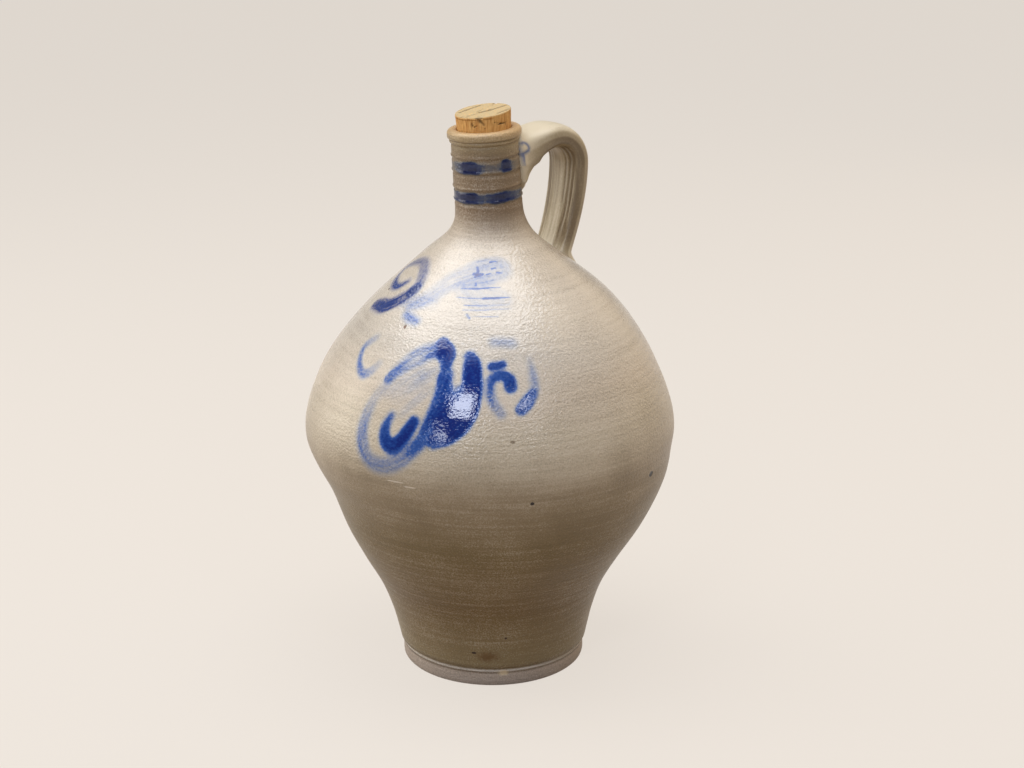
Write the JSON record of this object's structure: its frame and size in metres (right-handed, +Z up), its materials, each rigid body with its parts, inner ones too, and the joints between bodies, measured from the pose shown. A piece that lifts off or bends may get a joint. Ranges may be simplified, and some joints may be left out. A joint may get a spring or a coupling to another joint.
{
  "type": "stoneware bottle",
  "caption": "Salt-glazed stoneware bottle with a round belly, narrow collared neck, pulled strap handle and a removable natural cork stopper.",
  "frame": {"origin": "on the ground under the middle of the belly", "axes": "+Z up along the body, +X towards the handle"},
  "size_m": [0.2507, 0.2508, 0.3834],
  "materials": {
    "salt_glazed_stoneware": "salt glaze, light grey-beige with cobalt blue brushwork",
    "salt_glazed_handle": "salt glaze, light grey-beige",
    "natural_cork": "raw natural cork"
  },
  "bodies": {
    "jug": {"vessel": "salt_glazed_stoneware", "handle": "salt_glazed_handle"},
    "cork": {"stopper": "natural_cork"}
  },
  "joints": [
    {"name": "cork_pull", "type": "slide", "parent": "jug", "child": "cork", "axis": [-0.0732, 0, 0.9973], "range_m": [0, 0.06]}
  ]
}
